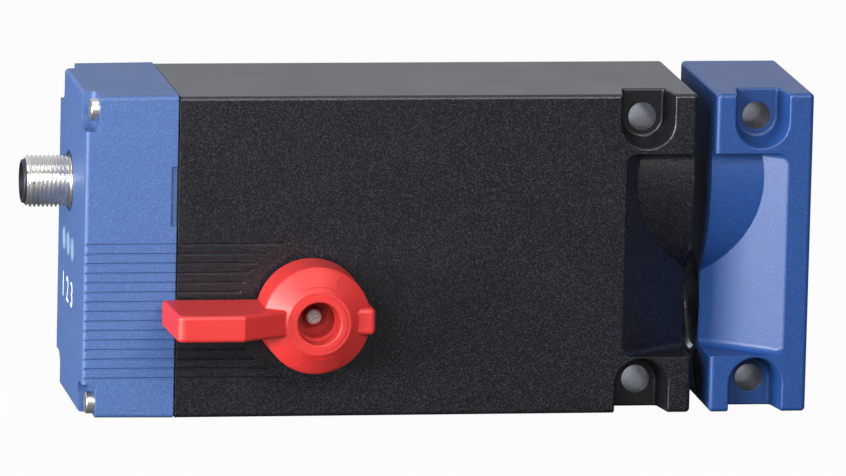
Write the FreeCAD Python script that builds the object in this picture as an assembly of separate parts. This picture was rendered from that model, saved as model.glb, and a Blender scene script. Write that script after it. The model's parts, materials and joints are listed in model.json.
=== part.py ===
import FreeCAD, Part
import math
import os

# Bolt-type guard interlock with its separate actuator, built in millimetres.
# +X runs along the switch towards the actuator, the front faces -Y, +Z is up.
# The origin lies on the mounting face, midway between the two housing screw holes.

os.makedirs("parts", exist_ok=True)
Vec = FreeCAD.Vector

# Overall sizes
height = 75.0
depth = 46.0
housing_length = 120.7
cover_length = 21.7
actuator_length = 22.8
actuator_gap = 4.5
edge_round = 1.0
reach_past = 3.0

# Die-cast walls
housing_wall = 3.0
cover_wall = 2.6
end_block_length = 26.0
seat_gap = 0.02
print_gap = 0.3

# Mounting screws, M6 class
screw_from_end = 11.6
screw_from_side = 6.5
screw_hole_r = 3.25
pocket_mouth_r = 6.3
pocket_floor_r = 4.9
pocket_depth = 8.2
pocket_soft = 0.8
pocket_mouth_round = 0.5
housing_web = 4.0
actuator_web = 11.0
core_r_web = 4.0
core_r_back = 4.3
actuator_screw_from_end = 12.0

# Sculpted recess that both blocks share across the gap
recess_top = 14.0
recess_bottom = 13.2
recess_corner = 2.8
recess_soft = 1.6
housing_recess_length = 16.7
housing_recess_depth = 11.8
housing_crest_depth = 2.4
actuator_recess_length = 17.4
actuator_recess_depth = 15.6
actuator_crest_depth = 4.5
crest_from_top = 20.7
bulge_r = 31.0

# Grip grooves
groove_count = 15
groove_pitch = 2.235
groove_width = 0.5
groove_depth = 0.35
groove_circle_r = 16.6

# Release lever
lever_from_cover_end = 52.4
lever_from_bottom = 25.0
lever_lift = 2.2
lever_disc_r = 12.7
lever_disc_top_r = 12.5
lever_rim_height = 12.3
lever_hub_r = 7.3
lever_hub_height = 16.1
lever_hub_step_r = 6.4
lever_hub_step = 0.2
lever_arm_reach = 34.4
lever_arm_width = 6.2
lever_arm_height = 21.7
lever_arm_flat_from = 18.0
lever_arm_root = 7.6
lever_arm_root_height = 15.6
lever_tip_draft = 0.9
lever_tip_round = 2.0
lever_arm_soft = 0.9
lever_edge_soft = 0.7
lever_stub_reach = 13.3
lever_stub_from = 8.2
lever_stub_height = 14.6
lever_stub_round = 1.1
lever_well_r = 4.95
lever_well_ledge = 11.5
lever_well_inner_r = 4.25
lever_well_soft = 0.4
lever_hole_floor = 5.6
lever_screw_r = 1.5
lever_screw_pass_gap = 0.1
lever_screw_head_r = 2.2
lever_screw_head = 2.1
lever_screw_head_round = 0.9
lever_screw_grip = 10.0
lever_screw_drive_r = 1.25
lever_screw_drive_width = 0.55
lever_screw_drive_depth = 1.1
lever_neck_r = 8.5
lever_rest_gap = 0.4
arrow_inner_r = 8.5
arrow_outer_r = 11.9
arrow_tail_deg = -29.0
arrow_notch_deg = -23.0
arrow_neck_deg = 25.0
arrow_point_deg = 40.0
arrow_height = 0.25

# Lever shaft, cam and release switch
shaft_r = 4.0
shaft_gap = 0.05
shaft_square = 5.0
shaft_flat = 0.8
lever_web = 1.6
shaft_inner_end = 12.6
shaft_boss_r = 8.0
shaft_boss_length = 4.0
shaft_seal_wire = 1.2
shaft_seal_groove = 1.7
clip_groove_depth = 0.8
clip_thickness = 0.8
clip_outer_r = 6.2
cam_thickness = 3.0
cam_start_r = 6.6
cam_hub_r = 6.0
cam_rise = 1.2
cam_turn_deg = 45.0
cam_lead_deg = 30.0
switch_length = 19.8
switch_width = 6.0
switch_height = 10.2
switch_button_r = 1.4
switch_button_gap = 0.1
switch_button_fit = 0.05
switch_button_out = 1.6
switch_screw_r = 1.1
switch_screw_head_r = 2.0
switch_screw_head = 1.5
switch_screw_grip = 2.0
switch_screw_spacing = 9.5
switch_screw_height = 0.35
switch_post_r = 2.6

# Bolt line
bolt_from_bottom = 22.0
bolt_r = 7.5
bolt_length = 57.0
bolt_setback = 1.0
bolt_travel = 19.0
bolt_nose_chamfer = 1.5
bolt_bush_wall = 2.0
bolt_bush_gap = 0.05
wiper_r = 11.0
wiper_thickness = 2.0
wiper_inset = 0.4
wiper_lip = 0.9
collar_r = 11.2
collar_thickness = 4.0
magnet_r = 1.2
magnet_from_bolt = 0.8
spring_wire_r = 0.6
spring_mean_r = 9.4
spring_turns = 6
spring_end_gap = 0.15

# Solenoid
solenoid_back_gap = 6.0
solenoid_length = 46.0
solenoid_clear = 1.7
solenoid_plate = 2.0
solenoid_foot_width = 16.0
plunger_r = 5.5
plunger_length = 20.0
plunger_gap = 0.25
bobbin_wall = 1.0
bobbin_cheek = 1.2
coil_side_gap = 0.2
core_length = 14.0
rod_r = 2.5
rod_seat = 8.0
rod_gap = 0.3

# Socket in the actuator
socket_r = 12.2
socket_chamfer = 0.9
socket_depth = 6.0
socket_deep_r = 9.4
socket_total_depth = 17.2

# Coded pair
tag_r = 5.4
tag_from_bolt = 11.8
tag_from_bottom = 6.4
tag_depth = 5.4

# Cover screws and their corner notches
cover_screw_inset = 3.3
cover_screw_r = 1.5
cover_screw_gap = 0.05
cover_screw_pass_gap = 0.2
cover_screw_head_r = 2.6
cover_screw_head = 2.0
cover_screw_head_round = 0.4
cover_screw_grip = 9.0
cover_screw_drive_r = 1.2
cover_screw_drive_width = 0.7
cover_screw_drive_depth = 1.1
notch_length = 3.2
notch_height = 8.0
notch_depth = 7.6
notch_round = 3.4
notch_floor_round = 1.4
corner_column = 8.2
boss_length = 12.0
gasket_thickness = 0.4
gasket_width = 2.0
gasket_inset = 0.8
cover_top_proud = 0.35
cover_draft = 0.2
pry_slot_from_top = 16.3
pry_slot_height = 13.8
pry_slot_width = 1.3
pry_slot_depth = 0.5

# M12 connector and indicator windows
connector_from_top = 24.4
thread_r = 6.0
thread_length = 10.4
connector_length = 11.2
connector_seat_r = 7.1
connector_seat_depth = 0.5
connector_collar_r = 5.1
connector_socket_r = 4.25
connector_floor = 3.0
connector_tail = 7.5
connector_shoulder_r = 6.2
connector_shoulder = 0.5
connector_nut_flats = 16.0
connector_nut_thickness = 2.6
connector_seal_wire = 0.7
pin_r = 0.5
pin_circle_r = 2.4
pin_count = 4
pin_stand = 6.2
pin_tail = 3.5
pin_tip = 0.6
window_below_connector = 14.8
window_r = 2.7
window_pitch = 7.25
window_back = 2.0
window_bar = 1.2
led_size = 2.4
led_height = 1.2

# Circuit boards
board_thickness = 1.6
board_left_gap = 4.0
board_right_gap = 6.7
board_from_top = 5.6
board_over_solenoid = 6.9
board_stand = 10.4
board_screw_r = 1.2
board_screw_head_r = 2.4
board_screw_head = 1.6
board_screw_grip = 8.0
board_screw_inset = 3.6
board_post_r = 3.0
board_post_floor = 2.0
board_tongue_length = 11.0
board_over_collar = 1.0
sensor_size = 3.0
sensor_height = 1.5
sensor_over_collar = 1.2

# Parts soldered to the main board, in one row between its screws
part_edge_gap = 0.8
header_length = 5.0
header_width = 12.0
header_height = 6.0
header_wall = 1.0
header_floor = 2.0
capacitor_r = 5.0
capacitor_height = 16.0
capacitor_round = 0.8
relay_length = 10.0
relay_width = 12.5
relay_height = 15.0
relay_round = 0.6
relay_count = 2
chip_size = 10.0
chip_height = 1.6

# Heads of the small inner screws
slot_width = 0.6
slot_depth = 0.6
small_head_round = 0.4
led_board_height = 13.0
led_board_edge = 4.0
led_post_r = 1.6
led_post_inset = 2.0

# Places that follow from the sizes
x_end = screw_from_end
x_seam = x_end - housing_length
x_cover = x_seam - cover_length
x_cover_rim = x_seam - gasket_thickness
x_act = x_end + actuator_gap
x_act_end = x_act + actuator_length
y_front = -depth
z_top = height / 2
z_bottom = -height / 2
screw_z = z_top - screw_from_side
act_screw_x = x_act_end - actuator_screw_from_end
solenoid_width = depth - housing_wall - shaft_inner_end - 2 * solenoid_clear
coil_r = solenoid_width / 2 - solenoid_plate - coil_side_gap
bolt_y = -housing_wall - solenoid_clear - solenoid_width / 2
bolt_z = z_bottom + bolt_from_bottom
tag_y = bolt_y - tag_from_bolt
tag_z = z_bottom + tag_from_bottom
led_board_width = 2 * (window_pitch + led_board_edge)
lever_x = x_cover + lever_from_cover_end
lever_z = z_bottom + lever_from_bottom
x_cavity = x_end - end_block_length
bush_r = bolt_r + bolt_bush_gap + bolt_bush_wall
y_inner = y_front + housing_wall
connector_z = z_top - connector_from_top
bolt_face = x_end - bolt_setback
bolt_tail = bolt_face - bolt_length
solenoid_end = bolt_tail - solenoid_back_gap
solenoid_start = solenoid_end - solenoid_length
core_face = solenoid_end - solenoid_plate - core_length
plunger_face = core_face - bolt_travel - print_gap
board_x0 = x_seam + board_left_gap
board_x1 = x_cavity - board_right_gap
board_z0 = bolt_z + solenoid_width / 2 + board_over_solenoid
board_z1 = z_top - board_from_top
window_z = connector_z - window_below_connector
cam_y = y_front + shaft_inner_end - cam_thickness


def box(x0, x1, y0, y1, z0, z1):
    return Part.makeBox(x1 - x0, y1 - y0, z1 - z0, Vec(x0, y0, z0))


def rod_x(r, x0, x1, y, z):
    return Part.makeCylinder(r, x1 - x0, Vec(x0, y, z), Vec(1, 0, 0))


def rod_y(r, y0, y1, x, z):
    return Part.makeCylinder(r, y1 - y0, Vec(x, y0, z), Vec(0, 1, 0))


def rod_z(r, z0, z1, x, y):
    return Part.makeCylinder(r, z1 - z0, Vec(x, y, z0), Vec(0, 0, 1))


def cone_x(r0, r1, x0, x1, y, z):
    return Part.makeCone(r0, r1, x1 - x0, Vec(x0, y, z), Vec(1, 0, 0))


def cone_y(r0, r1, y0, y1, x, z):
    return Part.makeCone(r0, r1, y1 - y0, Vec(x, y0, z), Vec(0, 1, 0))


def extrude(points, direction):
    wire = Part.makePolygon(points + [points[0]])
    return Part.Face(wire).extrude(direction)


def edges_where(shape, test):
    found = []
    for edge in shape.Edges:
        ends = [v.Point for v in edge.Vertexes]
        if test(ends):
            found.append(edge)
    return found


def all_at(ends, axis, value):
    return all(abs(p[axis] - value) < 1e-6 for p in ends)


def middle(edge):
    return edge.valueAt((edge.FirstParameter + edge.LastParameter) / 2)


def rounded_box(x0, x1, y0, y1, z0, z1, r, axis):
    """Box with the four edges along one axis rounded."""
    solid = box(x0, x1, y0, y1, z0, z1)
    others = [a for a in (0, 1, 2) if a != axis]
    along = edges_where(solid, lambda e: all(abs(e[0][a] - e[1][a]) < 1e-6 for a in others))
    return solid.makeFillet(r, along)


def write(name, shape):
    solid = shape.removeSplitter() if len(shape.Solids) == 1 else shape
    solid.exportStep("parts/" + name + ".step")
    print(name, len(solid.Solids), round(solid.Volume, 1), solid.isValid())


def screw_pocket(x, side):
    """Drafted U-shaped pocket that opens to the front and to the top or bottom."""
    y_out = y_front - reach_past
    y_floor = y_front + pocket_depth
    slope = (pocket_mouth_r - pocket_floor_r) / pocket_depth
    r_out = pocket_mouth_r + slope * reach_past
    z = side * screw_z
    bowl = cone_y(r_out, pocket_floor_r, y_out, y_floor, x, z)
    profile = [
        Vec(x - r_out, y_out, z),
        Vec(x + r_out, y_out, z),
        Vec(x + pocket_floor_r, y_floor, z),
        Vec(x - pocket_floor_r, y_floor, z),
    ]
    z_far = z + side * (screw_from_side + reach_past)
    channel = extrude(profile, Vec(0, 0, z_far - z))
    pocket = bowl.fuse(channel).removeSplitter()
    rim = edges_where(pocket, lambda e: all_at(e, 1, y_floor) and not all_at(e, 2, z_far))
    return pocket.makeFillet(pocket_soft, rim)


def screw_hole(x, side, web):
    """Round hole in the seat web, then a wider cored hole to the back."""
    z = side * screw_z
    y_seat = y_front + pocket_depth
    hole = rod_y(screw_hole_r, y_seat - reach_past, y_seat + web + reach_past, x, z)
    core = cone_y(core_r_web, core_r_back, y_seat + web, reach_past, x, z)
    return hole.fuse(core)


def recess_tool(x_edge, outward, length, deep, crest):
    """Space in front of the ramp and the round bulge, open towards the gap."""
    slope = deep / length
    x_outer = x_edge - outward * length
    x_past = x_edge + outward * reach_past
    y_out = y_front - reach_past
    z_lo = z_bottom + recess_bottom
    z_hi = z_top - recess_top
    ramp = [
        Vec(x_outer - outward * reach_past / slope, y_out, z_lo),
        Vec(x_past, y_front + deep + slope * reach_past, z_lo),
        Vec(x_past, y_out, z_lo),
    ]
    wedge = extrude(ramp, Vec(0, 0, z_hi - z_lo))
    x_far = x_past + outward * 2 * recess_corner
    low, high = sorted((x_outer, x_far))
    outline = rounded_box(low, high, y_out, 0.0, z_lo, z_hi, recess_corner, 1)
    wedge = wedge.common(outline)
    low, high = sorted((x_outer - outward, x_far))
    bulge = rod_x(bulge_r, low, high, y_front + crest + bulge_r, z_top - crest_from_top)
    return wedge.cut(bulge)


def soften_recess(tool, x_edge, outward):
    """Rounds the long inner corners at the top and bottom of a recess."""
    z_lo = z_bottom + recess_bottom
    z_hi = z_top - recess_top
    chosen = []
    for edge in tool.Edges:
        mid = middle(edge)
        on_wall = abs(mid.z - z_lo) < 1e-4 or abs(mid.z - z_hi) < 1e-4
        inside = mid.y > y_front + 0.2
        crosses = abs(mid.x - (x_edge + outward * reach_past)) < 1e-4
        if on_wall and inside and not crosses:
            chosen.append(edge)
    return tool.makeFillet(recess_soft, chosen)


def round_pocket_mouths(body, x):
    """Rounds the front rims of the two screw pockets."""
    rims = []
    for edge in edges_where(body, lambda e: all_at(e, 1, y_front)):
        mid = middle(edge)
        across = abs(mid.x - x)
        beyond = abs(mid.z) - screw_z
        on_bowl = beyond < 0 and abs(math.hypot(across, beyond) - pocket_mouth_r) < seat_gap
        on_wall = beyond > 0 and abs(across - pocket_mouth_r) < seat_gap
        if abs(mid.y - y_front) < 1e-6 and (on_bowl or on_wall):
            rims.append(edge)
    return body.makeFillet(pocket_mouth_round, rims)


def grooves(x0, x1):
    """Thin horizontal grooves that end on the circle about the lever."""
    cuts = []
    for i in range(groove_count):
        z = lever_z + (i - (groove_count - 1) / 2) * groove_pitch
        half = groove_width / 2
        section = [
            Vec(x0, y_front - groove_depth, z - 2 * half),
            Vec(x0, y_front + groove_depth, z - half / 2),
            Vec(x0, y_front + groove_depth, z + half / 2),
            Vec(x0, y_front - groove_depth, z + 2 * half),
        ]
        cuts.append(extrude(section, Vec(x1 - x0, 0, 0)))
    field = cuts[0].multiFuse(cuts[1:])
    disc = rod_y(groove_circle_r, y_front - reach_past, y_front + reach_past, lever_x, lever_z)
    return field.cut(disc)


def cover_screw_places():
    inset = cover_screw_inset
    return [(y, z) for y in (y_front + inset, -inset) for z in (z_top - inset, z_bottom + inset)]


def board_screw_places():
    inset = board_screw_inset
    return [(x, z) for x in (board_x0 + inset, board_x1 - inset) for z in (board_z0 + inset, board_z1 - inset)]


def switch_screw_places():
    z = lever_z + cam_start_r + cam_rise + switch_button_out + switch_height * switch_screw_height
    return [(lever_x + s * switch_screw_spacing / 2, z) for s in (-1, 1)]


def main_housing():
    body = box(x_seam, x_end, y_front, 0, z_bottom, z_top)
    body = body.makeFillet(edge_round, edges_where(body, lambda e: not all_at(e, 0, x_seam)))
    w = housing_wall
    cavity = box(x_seam - 1, x_cavity, y_inner, -w, z_bottom + w, z_top - w)
    body = body.cut(cavity)
    for y, z in cover_screw_places():
        boss = box(x_seam, x_seam + boss_length, y - corner_column / 2, y + corner_column / 2,
                   z - corner_column / 2, z + corner_column / 2)
        boss = boss.common(box(x_seam, x_end, y_front + edge_round, -edge_round,
                               z_bottom + edge_round, z_top - edge_round))
        body = body.fuse(boss)
    for x, z in board_screw_places():
        body = body.fuse(rod_y(board_post_r, -w - board_stand, -w, x, z))
    boss_y = y_inner + shaft_boss_length
    body = body.fuse(rod_y(shaft_boss_r, y_inner - 0.5, boss_y, lever_x, lever_z))
    for x, z in switch_screw_places():
        body = body.fuse(rod_y(switch_post_r, y_inner - 0.5, cam_y - (switch_width - cam_thickness) / 2, x, z))
    foot_z = bolt_z - solenoid_width / 2
    foot = solenoid_foot_width / 2
    body = body.fuse(box(solenoid_start, solenoid_end, bolt_y - foot, bolt_y + foot, z_bottom + w - 0.5, foot_z))
    tool = recess_tool(x_end, 1, housing_recess_length, housing_recess_depth, housing_crest_depth)
    cuts = [soften_recess(tool, x_end, 1)]
    for side in (-1, 1):
        cuts.append(screw_pocket(0, side))
        cuts.append(screw_hole(0, side, housing_web))
    for y, z in cover_screw_places():
        cuts.append(rod_x(cover_screw_r + cover_screw_gap, x_seam - 1,
                          x_seam + cover_screw_grip + 1, y, z))
    for x, z in board_screw_places():
        cuts.append(rod_y(board_screw_r + seat_gap, -w - board_stand - 1, -w - board_post_floor, x, z))
    for x, z in switch_screw_places():
        cuts.append(rod_y(switch_screw_r + seat_gap, y_inner, cam_y, x, z))
    cuts.append(rod_y(shaft_r + shaft_gap, y_front - 1, boss_y + 1, lever_x, lever_z))
    cuts.append(rod_x(bush_r + seat_gap, x_cavity - 1, x_end + 1, bolt_y, bolt_z))
    cuts.append(rod_x(wiper_r + seat_gap, x_end - wiper_thickness - wiper_inset, x_end + 1, bolt_y, bolt_z))
    cuts.append(rod_x(tag_r + seat_gap, x_end - tag_depth, x_end + 1, tag_y, tag_z))
    cuts.append(grooves(x_seam - 1, lever_x))
    for cut in cuts:
        body = body.cut(cut)
    return round_pocket_mouths(body.removeSplitter(), 0)


def corner_notch(y_side, z_side):
    """Open corner pocket that holds a cover screw head."""
    y_face = y_front if y_side < 0 else 0
    z_face = z_bottom if z_side < 0 else z_top
    y_in = y_face - y_side * notch_depth
    z_in = z_face - z_side * notch_height
    y_out = y_face + y_side * reach_past
    z_out = z_face + z_side * reach_past
    ys, zs = sorted((y_in, y_out)), sorted((z_in, z_out))
    notch = box(x_cover - 1, x_cover + notch_length, ys[0], ys[1], zs[0], zs[1])
    inner = edges_where(notch, lambda e: all_at(e, 1, y_in) and all_at(e, 2, z_in))
    notch = notch.makeFillet(notch_round, inner)
    x_floor = x_cover + notch_length
    floor = edges_where(notch, lambda e: all_at(e, 0, x_floor) and not all_at(e, 1, y_out)
                        and not all_at(e, 2, z_out))
    return notch.makeFillet(notch_floor_round, floor)


def window_places():
    return [bolt_y + (i - 1) * window_pitch for i in range(3)]


def led_post_places():
    z = window_z - led_board_height / 2 + led_post_inset
    return [(bolt_y + side * window_pitch / 2, z) for side in (-1, 1)]


def y_side_face(y_side):
    return y_front + edge_round if y_side < 0 else -edge_round


def z_side_face(z_side):
    return z_bottom + edge_round if z_side < 0 else z_top - edge_round


def end_cover():
    profile = [
        Vec(x_cover_rim, y_front, z_bottom),
        Vec(x_cover, y_front, z_bottom + cover_draft),
        Vec(x_cover, y_front, z_top + cover_top_proud - cover_draft),
        Vec(x_cover_rim, y_front, z_top + cover_top_proud),
    ]
    body = extrude(profile, Vec(0, depth, 0))
    body = body.makeFillet(edge_round, edges_where(body, lambda e: not all_at(e, 0, x_cover_rim)))
    w = cover_wall
    body = body.cut(box(x_cover + w, x_seam, y_front + w, -w, z_bottom + w, z_top - w))
    for y, z in cover_screw_places():
        column = box(x_cover + w / 2, x_cover_rim, y - corner_column / 2, y + corner_column / 2,
                     z - corner_column / 2, z + corner_column / 2)
        body = body.fuse(column.common(box(x_cover, x_seam, y_front + edge_round, -edge_round,
                                           z_bottom + edge_round, z_top - edge_round)))
    for y_side in (-1, 1):
        for z_side in (-1, 1):
            shelf = box(x_cover + notch_length, x_cover + notch_length + w,
                        *sorted((y_side_face(y_side), y_side_face(y_side) - y_side * (notch_depth + w))),
                        *sorted((z_side_face(z_side), z_side_face(z_side) - z_side * (notch_height + w))))
            body = body.fuse(shelf)
            wall = box(x_cover + edge_round, x_cover + notch_length + w,
                       *sorted((y_side_face(y_side), y_side_face(y_side) - y_side * (notch_depth + w))),
                       *sorted((z_side_face(z_side), z_side_face(z_side) - z_side * (notch_height + w))))
            body = body.fuse(wall)
    for y, z in led_post_places():
        body = body.fuse(rod_x(led_post_r, x_cover + w - 0.5, led_board_x() - seat_gap, y, z))
    for y_side in (-1, 1):
        for z_side in (-1, 1):
            body = body.cut(corner_notch(y_side, z_side))
    for y, z in cover_screw_places():
        body = body.cut(rod_x(cover_screw_r + cover_screw_pass_gap, x_cover, x_seam, y, z))
    body = body.cut(rod_x(connector_seat_r, x_cover - 1, x_cover + connector_seat_depth,
                          bolt_y, connector_z))
    x_ring = x_cover + connector_seat_depth + connector_seal_wire
    body = body.cut(rod_x(thread_r + connector_seal_wire + 2 * seat_gap, x_cover, x_ring,
                          bolt_y, connector_z))
    body = body.cut(rod_x(thread_r + seat_gap, x_cover - 1, x_seam, bolt_y, connector_z))
    for y in window_places():
        body = body.cut(rod_x(window_r + seat_gap, x_cover - 1, x_cover + w + 1, y, window_z))
    z1 = z_top - pry_slot_from_top
    body = body.cut(box(x_cover_rim - pry_slot_width, x_seam, y_front - 1, y_front + pry_slot_depth,
                        z1 - pry_slot_height, z1))
    return body.cut(grooves(x_cover - 1, x_seam))


def cover_gasket():
    g = gasket_inset
    ring = box(x_cover_rim + seat_gap, x_seam - seat_gap, y_front + g, -g, z_bottom + g, z_top - g)
    g = gasket_inset + gasket_width
    ring = ring.cut(box(x_cover_rim - 1, x_seam + 1, y_front + g, -g, z_bottom + g, z_top - g))
    for y, z in cover_screw_places():
        ring = ring.fuse(rod_x(corner_column / 2 - 1.2, x_cover_rim + seat_gap, x_seam - seat_gap, y, z))
    for y, z in cover_screw_places():
        ring = ring.cut(rod_x(cover_screw_r + cover_screw_gap, x_cover_rim - 1, x_seam + 1, y, z))
    return ring


def cover_screws():
    x_seat = x_cover + notch_length
    screws = []
    for y, z in cover_screw_places():
        head = rod_x(cover_screw_head_r, x_seat - cover_screw_head, x_seat - seat_gap, y, z)
        rim = edges_where(head, lambda e: all_at(e, 0, x_seat - cover_screw_head))
        head = head.makeFillet(cover_screw_head_round, rim)
        half = cover_screw_drive_width / 2
        for turn in (0, 90):
            arm = box(x_seat - cover_screw_head - 1, x_seat - cover_screw_head + cover_screw_drive_depth,
                      y - cover_screw_drive_r, y + cover_screw_drive_r, z - half, z + half)
            arm.rotate(Vec(0, y, z), Vec(1, 0, 0), turn)
            head = head.cut(arm)
        shank = rod_x(cover_screw_r, x_seat - cover_screw_head + cover_screw_drive_depth + 0.3,
                      x_seam + cover_screw_grip, y, z)
        screws.append(head.fuse(shank))
    return Part.makeCompound(screws)


def connector_shell():
    x0 = x_cover - thread_length
    inside = x_cover + cover_wall
    shell = rod_x(thread_r, x0, inside + connector_nut_thickness + 1.4, bolt_y, connector_z)
    rim = edges_where(shell, lambda e: all_at(e, 0, x0))
    shell = shell.makeChamfer(0.5, rim)
    x_seat = x_cover + connector_seat_depth - seat_gap
    shoulder = rod_x(connector_shoulder_r, x_seat - connector_shoulder, x_seat, bolt_y, connector_z)
    shell = shell.fuse(shoulder)
    return shell.cut(rod_x(connector_collar_r + seat_gap, x0 - 1, x_seam, bolt_y, connector_z))


def connector_insert():
    x0 = x_cover - connector_length
    x1 = x_cover + cover_wall + connector_tail
    body = rod_x(connector_collar_r, x0, x1, bolt_y, connector_z)
    body = body.makeFillet(0.4, edges_where(body, lambda e: all_at(e, 0, x0)))
    x_floor = x_cover - connector_floor
    body = body.cut(rod_x(connector_socket_r, x0 - 1, x_floor, bolt_y, connector_z))
    key = box(x0 + 1.2, x_floor, bolt_y - 0.5, bolt_y + 0.5, connector_z + 3.3, connector_z + 4.6)
    body = body.fuse(key)
    for y, z in pin_places():
        body = body.cut(rod_x(pin_r + seat_gap, x_floor - 1, x1 + 1, y, z))
    return body


def pin_places():
    turns = [math.radians(45 + i * 360 / pin_count) for i in range(pin_count)]
    ring = [(bolt_y + pin_circle_r * math.cos(t), connector_z + pin_circle_r * math.sin(t)) for t in turns]
    return ring + [(bolt_y, connector_z)]


def connector_pins():
    x_floor = x_cover - connector_floor
    x1 = x_cover + cover_wall + connector_tail + pin_tail
    pins = []
    for y, z in pin_places():
        pin = rod_x(pin_r, x_floor - pin_stand + pin_tip, x1, y, z)
        tip = cone_x(pin_r / 2, pin_r, x_floor - pin_stand, x_floor - pin_stand + pin_tip, y, z)
        pins.append(pin.fuse(tip))
    return Part.makeCompound(pins)


def connector_nut():
    x0 = x_cover + cover_wall + seat_gap
    corner = connector_nut_flats / math.sqrt(3)
    points = []
    for i in range(6):
        turn = math.radians(60 * i)
        points.append(Vec(x0, bolt_y + corner * math.cos(turn), connector_z + corner * math.sin(turn)))
    nut = extrude(points, Vec(connector_nut_thickness, 0, 0))
    return nut.cut(rod_x(thread_r + seat_gap, x0 - 1, x_seam, bolt_y, connector_z))


def ring_x(r_mid, r_wire, x, y, z):
    return Part.makeTorus(r_mid, r_wire, Vec(x, y, z), Vec(1, 0, 0))


def connector_seal():
    r = thread_r + connector_seal_wire / 2 + seat_gap
    x = x_cover + connector_seat_depth + connector_seal_wire / 2
    return ring_x(r, connector_seal_wire / 2 - seat_gap, x, bolt_y, connector_z)


def light_pipe():
    x0 = x_cover
    x1 = x_cover + cover_wall + window_back
    y0 = window_places()[0]
    y1 = window_places()[-1]
    bar = box(x1 - window_bar, x1, y0, y1, window_z - window_r, window_z + window_r)
    for y in window_places():
        bar = bar.fuse(rod_x(window_r, x0, x1, y, window_z))
    return bar


def led_board_x():
    return x_cover + cover_wall + window_back + led_height + print_gap


def led_board():
    x0 = led_board_x()
    board = rounded_box(x0, x0 + board_thickness, bolt_y - led_board_width / 2,
                        bolt_y + led_board_width / 2, window_z - led_board_height / 2,
                        window_z + led_board_height / 2, 1.0, 0)
    return board


def leds():
    x0 = led_board_x() - seat_gap
    half = led_size / 2
    chips = []
    for y in window_places():
        base = box(x0 - led_height / 2, x0, y - half, y + half, window_z - half, window_z + half)
        dome = rod_x(half * 0.8, x0 - led_height, x0 - led_height / 4, y, window_z)
        chips.append(base.fuse(dome))
    return Part.makeCompound(chips)


def board_front():
    return -housing_wall - board_stand - seat_gap - board_thickness


def main_board():
    y1 = -housing_wall - board_stand - seat_gap
    board = box(board_x0, board_x1, y1 - board_thickness, y1, board_z0, board_z1)
    xt = bolt_tail - board_tongue_length / 2
    tongue_low = bolt_z + collar_r + board_over_collar
    board = board.fuse(box(xt, xt + board_tongue_length, y1 - board_thickness, y1, tongue_low, board_z0))
    for x, z in board_screw_places():
        board = board.cut(rod_y(board_screw_r + print_gap, y1 - 3, y1 + 1, x, z))
    return board


def part_centres(widths):
    """Middles of a row of parts that are spread evenly between the screws of the board."""
    margin = board_screw_inset + board_screw_head_r + part_edge_gap
    room = board_x1 - board_x0 - 2 * margin
    gap = (room - sum(widths)) / (len(widths) - 1)
    middles = []
    x = board_x0 + margin
    for width in widths:
        middles.append(x + width / 2)
        x += width + gap
    return middles


def part_block(x, length, width, height):
    """Block that stands on the board, centred on its height."""
    y1 = board_front() - seat_gap
    z = (board_z0 + board_z1) / 2
    return box(x - length / 2, x + length / 2, y1 - height, y1, z - width / 2, z + width / 2)


def board_components():
    y1 = board_front() - seat_gap
    z = (board_z0 + board_z1) / 2
    widths = [header_length, 2 * capacitor_r] + relay_count * [relay_length] + [chip_size]
    middles = part_centres(widths)
    header = part_block(middles[0], header_length, header_width, header_height)
    inside = part_block(middles[0], header_length - 2 * header_wall, header_width - 2 * header_wall,
                        header_height + 1)
    header = header.cut(inside.common(part_block(middles[0], header_length, header_width,
                                                 header_height + 1).translated(Vec(0, -header_floor, 0))))
    capacitor = rod_y(capacitor_r, y1 - capacitor_height, y1, middles[1], z)
    rim = edges_where(capacitor, lambda e: all_at(e, 1, y1 - capacitor_height))
    parts = [header, capacitor.makeFillet(capacitor_round, rim)]
    for x in middles[2:2 + relay_count]:
        relay = part_block(x, relay_length, relay_width, relay_height)
        rim = edges_where(relay, lambda e: all_at(e, 1, y1 - relay_height))
        parts.append(relay.makeFillet(relay_round, rim))
    parts.append(part_block(middles[-1], chip_size, chip_size, chip_height))
    return Part.makeCompound(parts)


def slotted_head(r, height, y, direction, x, z):
    """Round screw head that stands on the plane y, with a rounded rim and a straight slot."""
    y_top = y + direction * height
    y0, y1 = sorted((y, y_top))
    head = rod_y(r, y0, y1, x, z)
    head = head.makeFillet(small_head_round, edges_where(head, lambda e: all_at(e, 1, y_top)))
    y0, y1 = sorted((y_top - direction * slot_depth, y_top + direction))
    half = slot_width / 2
    return head.cut(box(x - r, x + r, y0, y1, z - half, z + half))


def board_screws():
    y1 = board_front() - seat_gap
    screws = []
    for x, z in board_screw_places():
        head = slotted_head(board_screw_head_r, board_screw_head, y1, -1, x, z)
        screws.append(head.fuse(rod_y(board_screw_r, y1 - board_screw_head / 3, y1 + board_screw_grip, x, z)))
    return Part.makeCompound(screws)


def position_sensor():
    y1 = board_front() - seat_gap
    z0 = bolt_z + collar_r + sensor_over_collar
    x = bolt_tail
    return box(x - sensor_size / 2, x + sensor_size / 2, y1 - sensor_height, y1, z0, z0 + sensor_size)


def solenoid_frame():
    half = solenoid_width / 2
    p = solenoid_plate
    outer = box(solenoid_start, solenoid_end, bolt_y - half, bolt_y + half, bolt_z - half, bolt_z + half)
    inner = box(solenoid_start + p, solenoid_end - p, bolt_y - half - 1, bolt_y + half + 1,
                bolt_z - half + p, bolt_z + half - p)
    frame = outer.cut(inner)
    frame = frame.cut(rod_x(plunger_r + plunger_gap, solenoid_start - 1, solenoid_start + p + 1,
                            bolt_y, bolt_z))
    return frame.cut(rod_x(plunger_r + seat_gap, solenoid_end - p - 1, solenoid_end + 1, bolt_y, bolt_z))


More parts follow.
